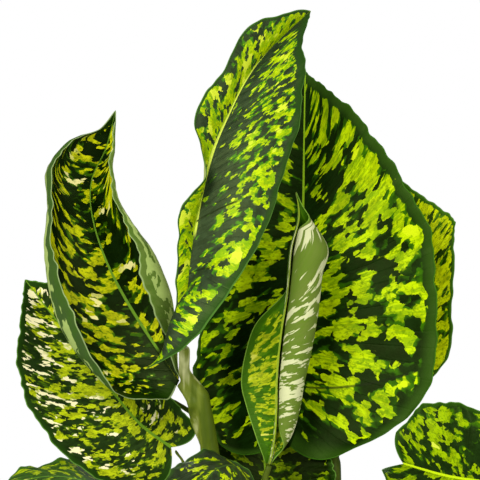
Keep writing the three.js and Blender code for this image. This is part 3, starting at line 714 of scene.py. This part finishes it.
def arching_leaf(base, heading, length, half_width, rise, droop, fold):
    """The lines of a leaf that goes out from its base, given in millimetres and degrees."""
    out = np.array([math.cos(math.radians(heading)), math.sin(math.radians(heading)), 0])
    side = np.array([out[1], -out[0], 0])
    pieces = len(arching_widths) - 1
    rib = [np.array(base, dtype=float)]
    for i in range(1, pieces + 1):
        tilt = math.radians(rise + (droop - rise) * (i - 0.5) / pieces)
        rib.append(rib[-1] + length / pieces * (out * math.cos(tilt) + np.array([0, 0, math.sin(tilt)])))
    curve = line(rib)

    def edge(hand):
        points = []
        for i, share in enumerate(arching_widths):
            ahead = min(1, i / pieces + arching_sweep * math.sin(math.pi * i / pieces))
            root = curve(np.array([ahead]))[0] * to_mm
            points.append(root + half_width * share * (side * hand + np.array([0, 0, fold])))
        return points

    return {**low_habit, "wave": 2, "scallop": 0.015, "bend": -0.08, "round": 0.2,
            "rib": rib, "left": edge(-1), "right": edge(1)}


arching = {
    "back_right": ((44, 64, 290), 66, 205, 46, 60, -20, 0.25),
    "back_left": ((-86, 62, 312), 128, 180, 40, 36, -35, 0.25),
    "low_front_right": ((44, -50, 186), -58, 165, 36, 18, -38, 0.2),
    "low_back_right": ((92, 46, 205), 24, 170, 38, 15, -40, 0.2),
    "low_back_left": ((-84, 44, 205), 156, 165, 37, 15, -40, 0.2),
    "low_front_left": ((-62, -44, 190), -146, 150, 34, 18, -40, 0.2),
}
for count, (name, shape) in enumerate(arching.items()):
    leaf_piece(name + "_blade", "leaf_" + name, arching_leaf(*shape), leaf_skin(
        name + "_skin", dark=(18, 40, 8), middle=(60, 100, 4), lime=(180, 206, 6), cream=(220, 225, 110),
        creamy=(-0.05, 0.05, 0), seed=101 + 10 * count, band=(4, 4), rim=(44, 86, 20), rib=(150, 185, 50)))

# ---------------------------------------------------------------- rolled young leaf
# The newest leaf, soft and still growing: its right half is wound round as a scroll with the pale underside
# out, and its left half is open. Made from the scroll's axis and radius and the open half's edge line.
young_axis = line([
    (2, -22, 261), (11, -22, 281), (15, -22, 301), (17, -22, 322), (20, -22, 342), (23, -22, 362),
    (26, -22, 383), (28, -22, 402), (31, -22, 422), (27, -22, 445), (21, -22, 464)])
young_edge = line([
    (-2, -18, 262), (-9, -16, 281), (-16, -12, 303), (-20, -10, 322), (-16, -10, 347), (-8, -12, 367),
    (12, -18, 388), (14, -20, 402), (16, -21, 422), (22, -22, 445), (21, -22, 464)])
young_radius = (1, 6, 8.6, 10.4, 12, 12.8, 12.8, 12.8, 14, 4, 0.8)


def radius_at(share):
    """The scroll's radius in metres: a smooth curve through the given radii, held level past its ends."""
    given = np.array(young_radius) * mm
    last = len(given) - 1
    place = np.clip(share, 0, 1) * last
    i = np.minimum(place.astype(int), last - 1)
    before, after = given[np.maximum(i - 1, 0)], given[np.minimum(i + 2, last)]
    return between(before, given[i], given[i + 1], after, place - i)


def wound(share, t):
    """Points of the scroll, rows along it by columns round it. Its thin ends are wound less far round."""
    full_radius = 0.6 * max(young_radius) * mm
    start, least_turn, more_turn = 1.08, 0.4, 1.75
    tightening = 0.22
    r = radius_at(share)[:, None]
    full = np.minimum(1, r / full_radius)
    angle = np.pi * (start - t[None, :] * (least_turn + more_turn * full))
    spiral = r * (1 - tightening * full * t[None, :] ** 2)
    turned = np.stack([spiral * np.cos(angle), spiral * np.sin(angle), 0 * spiral], axis=-1)
    return young_axis(share)[:, None] + turned


young_rows = 180
young_along = np.linspace(0, 1, young_rows + 1)
wound_t = np.linspace(0, 1, 61)
open_t = np.linspace(0, 1, 21)[1:]
scroll = wound(young_along, wound_t)
young_root = scroll[:, :1]
open_reach = young_edge(young_along)[:, None] - young_root
open_width = np.linalg.norm(open_reach, axis=-1)
flap = young_root + open_reach * open_t[None, :, None]
flap[..., 1] += open_width * 0.5 * open_t * (1 - open_t)
young_grid = np.concatenate([flap[:, ::-1], scroll], axis=1)

# Its blotches run round the scroll, more steeply towards the tip, at one size all the way.
scroll_round = 0.055
young_up = young_along[:, None]
young_length = np.linalg.norm(np.diff(young_root[:, 0], axis=0), axis=1).sum()
scroll_width = np.linalg.norm(np.diff(scroll, axis=1), axis=-1).sum(axis=1)
young_share = np.concatenate([-open_t[::-1], wound_t])[None, :]
young_out = np.abs(young_share)
young_width = np.where(young_share < 0, open_width, scroll_width[:, None])
young_round = young_out * np.where(young_share < 0, open_width, scroll_round)
young_lean = -1.6 * young_up ** 1.4
young_slant = np.sqrt(1 + young_lean ** 2)
young_base_gap = young_up * young_length + 3 * mm
young_facts = blade_facts(
    young_along, young_share,
    vein=(young_up * young_length - young_round * young_lean) / young_slant,
    run=young_round * young_slant,
    reach=young_out * young_width,
    margin=np.minimum((1 - young_out) * young_width, young_base_gap))
young = blade_mesh("young_blade", young_grid, len(open_t), young_along, young_facts, ridge=1.2 * mm)
young.data.materials.append(leaf_skin(
    "young_leaf_skin", dark=(44, 82, 2), middle=(84, 124, 4), lime=(178, 190, 22), cream=(205, 205, 80),
    share=0.45, creamy=(-0.06, 0.1, 0), grain=1.6, stretch=3.0, seed=43, band=(5, 3),
    bare_base=(0.5, -0.05), rim=(48, 88, 2), edge=(130, 170, 60), rib=(140, 162, 40), rib_width=1.8,
    under=(102, 120, 46), shaded_under_left=(102, 120, 46), under_spots=(218, 218, 168),
    under_share=(0.0, 0.01, 0.12), shine=0.15))
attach(young, "root")
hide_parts("leaf_rolled")

# ---------------------------------------------------------------- stems
# The three canes with their leaf stalks, each grown as one piece and rooted in the soil: ringed green canes
# low down, smooth streaky olive stalks above. Each is the solid's own form, made round on a fine grid.
# The heights between which the canes pass into stalks, and the stalks into their paler tops.
cane_top = (0.17, 0.235)
paler_top = (0.285, 0.33)
ring_pitch = 18 * mm
stem_voxel = 1.1 * mm


def select_only(piece):
    bpy.ops.object.select_all(action="DESELECT")
    piece.select_set(True)
    bpy.context.view_layer.objects.active = piece


def apply_all(piece):
    """Applies the piece's modifiers in order."""
    select_only(piece)
    for modifier in list(piece.modifiers):
        bpy.ops.object.modifier_apply(modifier=modifier.name)


def own_copy(node, name):
    """A copy of a CAD node's form as an object with its own joined mesh."""
    made = new_object(name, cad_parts[node].data.copy())
    made.data.materials.clear()
    weld = made.modifiers.new("weld", "WELD")
    weld.merge_threshold = 0.02 * mm
    apply_all(made)
    return made


def fine_grid(piece, voxel):
    """A modifier that makes the piece again from small even squares."""
    grid = piece.modifiers.new("grid", "REMESH")
    grid.mode = "VOXEL"
    grid.voxel_size = voxel


def ramp(tree, value, *stops):
    """The colour for a value, between stops that each have a place and a colour."""
    made = add_node(tree, "ValToRGB", {"Fac": value})
    elements = made.color_ramp.elements
    for element, (place, colour) in ((elements[0], stops[0]), (elements[-1], stops[-1])):
        element.position = place
        element.color = paint(*colour)
    for place, colour in stops[1:-1]:
        elements.new(place).color = paint(*colour)
    return made.outputs["Color"]


def grain_of(tree, place, scale, detail):
    """An even cloudy grain over a piece, finer at a higher scale."""
    inputs = {"Vector": place, "Scale": scale, "Detail": detail}
    return add_node(tree, "TexNoise", inputs).outputs["Fac"]


stem_skin, stem_tree, stem_surface = new_material("stem_skin")


def stem_node(kind, inputs, output=0, **settings):
    return add_node(stem_tree, kind, inputs, **settings).outputs[output]


stem_place = stem_node("TexCoord", {}, "Object")
stem_height = stem_node("SeparateXYZ", {"Vector": stem_place}, "Z")
stem_long = stem_node("Mapping", {"Vector": stem_place, "Scale": (150.0, 150.0, 14.0)}, "Vector")
stem_streak = grain_of(stem_tree, stem_long, 0.55, 3)
stem_mottle = grain_of(stem_tree, stem_place, 90, 4)
top_inputs = {"Value": stem_height, "From Min": paler_top[0], "From Max": paler_top[1], "To Max": 0.26}
stem_paler = stem_node("Math", {0: stem_streak, 1: stem_node("MapRange", top_inputs, "Result")})
stalk_colour = ramp(
    stem_tree, stem_paler,
    (0.32, (54, 72, 8)), (0.54, (76, 92, 14)), (0.66, (110, 122, 38)), (0.78, (194, 196, 136)))
cane_colour = ramp(stem_tree, stem_mottle, (0.38, (66, 84, 34)), (0.66, (128, 132, 74)))
cane_share = stem_node("MapRange", {
    "Value": stem_height, "From Min": cane_top[0], "From Max": cane_top[1], "To Min": 1.0, "To Max": 0.0},
    "Result")
stem_turns = stem_node("Math", {0: stem_height, 1: 2 * math.pi / ring_pitch}, operation="MULTIPLY")
stem_rings = stem_node("Math", {0: stem_turns, 1: 0.0}, operation="COSINE")
ring_share = stem_node("MapRange", {"Value": stem_rings, "From Min": 0.88, "From Max": 1.0}, "Result")
ring_scars = stem_node("Math", {0: ring_share, 1: cane_share}, operation="MULTIPLY")
ringless = stem_node("Mix", {0: cane_share, 6: stalk_colour, 7: cane_colour}, 2, data_type="RGBA")
stem_colour = stem_node("Mix", {0: ring_scars, 6: ringless, 7: paint(142, 122, 84)}, 2, data_type="RGBA")
stem_relief = stem_node("Math", {0: ring_scars, 1: -0.8, 2: stem_mottle}, operation="MULTIPLY_ADD")
lay_on(stem_tree, stem_surface, stem_colour, stem_relief, 0.35, 0.5 * mm)
stem_surface.inputs["Roughness"].default_value = 0.42
stem_surface.inputs["Specular IOR Level"].default_value = 0.1

for stem in ("stem_left", "stem_middle", "stem_right"):
    grown = own_copy(stem, stem + "_grown")
    fine_grid(grown, stem_voxel)
    soften = grown.modifiers.new("soften", "SMOOTH")
    soften.factor = 0.6
    soften.iterations = 24
    apply_all(grown)
    grown.data.shade_smooth()
    grown.data.materials.append(stem_skin)
    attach(grown, "root")
    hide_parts(stem)

# ---------------------------------------------------------------- soil
# Dark peaty potting soil, a bed of crumbs that fills the pot to just under its rim and holds the canes. It
# is the solid's own form on a fine grid, its top raked into low lumps that stay clear of the pot's wall.
soil_voxel = 1.7 * mm
soil_top = 139.5 * mm
soil_reach = 79.5 * mm
lump_waves = 60
lump_tightness = 330
lump_height = 0.9 * mm
lump_deepest, lump_highest = -2.2 * mm, 0.8 * mm
soil_bed = own_copy("soil", "soil_bed")
fine_grid(soil_bed, soil_voxel)
apply_all(soil_bed)
# Waves that run in all directions, added up. The fourth number drawn for each isn't used.
lumps = np.random.default_rng(7)
lump_directions = lumps.normal(size=(lump_waves, 4))[:, :3] * lump_tightness
lump_starts = lumps.uniform(0, 6.28, (lump_waves, 1))[:, 0]
corners = np.empty(len(soil_bed.data.vertices) * 3, dtype=np.float32)
soil_bed.data.vertices.foreach_get("co", corners)
corners = corners.reshape(-1, 3)
height = sum(np.sin(corners @ way + start) for way, start in zip(lump_directions, lump_starts))
height = height / lump_waves ** 0.5
near_top = np.clip((corners[:, 2] - soil_top) / (2 * mm), 0, 1)
inside = np.clip((soil_reach - np.hypot(corners[:, 0], corners[:, 1])) / (4 * mm), 0, 1)
corners[:, 2] += near_top * inside * np.clip(height * lump_height, lump_deepest, lump_highest)
soil_bed.data.vertices.foreach_set("co", corners.ravel())
soil_bed.data.update()
soil_bed.data.shade_smooth()
soil_look, soil_tree, soil_surface = new_material("soil_look")
soil_place = add_node(soil_tree, "TexCoord").outputs["Object"]
soil_crumbs = add_node(soil_tree, "TexVoronoi", {"Vector": soil_place, "Scale": 420.0}).outputs["Distance"]
soil_tone = grain_of(soil_tree, soil_place, 160, 6)
soil_colour = ramp(soil_tree, soil_tone, (0.34, (24, 17, 12)), (0.7, (88, 64, 44)))
lay_on(soil_tree, soil_surface, soil_colour, soil_crumbs, 0.8, mm)
soil_surface.inputs["Roughness"].default_value = 0.95
soil_bed.data.materials.append(soil_look)
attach(soil_bed, "root")
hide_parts("soil")

# ---------------------------------------------------------------- pot
# A tapered nursery pot of dark grey plastic, moulded in one piece: a stepped rim with rounded lips, a satin
# skin and drain holes in its foot. Turned from its profile: out from the foot's middle, up, over the rim
# and back.
pot_profile = [
    (0, 0), (50, 0), (61.2, 0), (61.9, 0.4), (62.2, 1.2), (69.3, 50), (76.4, 99), (81.9, 137.5),
    (82.1, 138.8), (84.5, 139), (85, 139.5), (85, 140.5), (85, 148), (85, 153.8), (84.6, 154.7),
    (83.9, 155), (83.3, 154.7), (82.9, 153.9), (80, 140), (79.7, 138.5), (74, 99), (67, 50), (60.1, 3.5),
    (59.6, 2.4), (58.5, 2.2), (50, 2.2), (0, 2.2)]
pot_steps = 128
pot_merge = 0.01 * mm
drain_holes = 6
drain_radius = 5 * mm
drain_circle = 42 * mm
pot_mesh = bpy.data.meshes.new("pot_shell")
pot_mesh.from_pydata(
    [(r * mm, 0, z * mm) for r, z in pot_profile], [(i, i + 1) for i in range(len(pot_profile) - 1)], [])
pot_shell = new_object("pot_shell", pot_mesh)
turn = pot_shell.modifiers.new("turn", "SCREW")
turn.steps = turn.render_steps = pot_steps
turn.use_merge_vertices = True
turn.merge_threshold = pot_merge
apply_all(pot_shell)
bpy.ops.object.mode_set(mode="EDIT")
bpy.ops.mesh.select_all(action="SELECT")
bpy.ops.mesh.remove_doubles(threshold=pot_merge)
bpy.ops.mesh.normals_make_consistent(inside=False)
bpy.ops.object.mode_set(mode="OBJECT")
for hole in range(drain_holes):
    angle = 2 * math.pi * hole / drain_holes
    drill_place = (drain_circle * math.cos(angle), drain_circle * math.sin(angle), mm)
    bpy.ops.object.select_all(action="DESELECT")
    bpy.ops.mesh.primitive_cylinder_add(
        vertices=32, radius=drain_radius, depth=8 * mm, location=drill_place)
    drill = bpy.context.object
    cut = pot_shell.modifiers.new("drain", "BOOLEAN")
    cut.operation = "DIFFERENCE"
    cut.solver = "EXACT"
    cut.object = drill
    apply_all(pot_shell)
    bpy.data.objects.remove(drill)
select_only(pot_shell)
bpy.ops.object.shade_smooth_by_angle(angle=math.radians(50))
pot_look, pot_tree, pot_surface = new_material("pot_look")
pot_place = add_node(pot_tree, "TexCoord").outputs["Object"]
pot_grain = grain_of(pot_tree, pot_place, 900, 3)
pot_wear = grain_of(pot_tree, pot_place, 35, 5)
pot_colour = ramp(pot_tree, pot_wear, (0.35, (54, 57, 58)), (0.7, (61, 64, 65)))
pot_gloss = add_node(
    pot_tree, "MapRange", {"Value": pot_wear, "To Min": 0.38, "To Max": 0.56}).outputs["Result"]
pot_tree.links.new(pot_gloss, pot_surface.inputs["Roughness"])
lay_on(pot_tree, pot_surface, pot_colour, pot_grain, 0.25, 0.2 * mm)
pot_shell.data.materials.append(pot_look)
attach(pot_shell, "root")
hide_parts("pot")
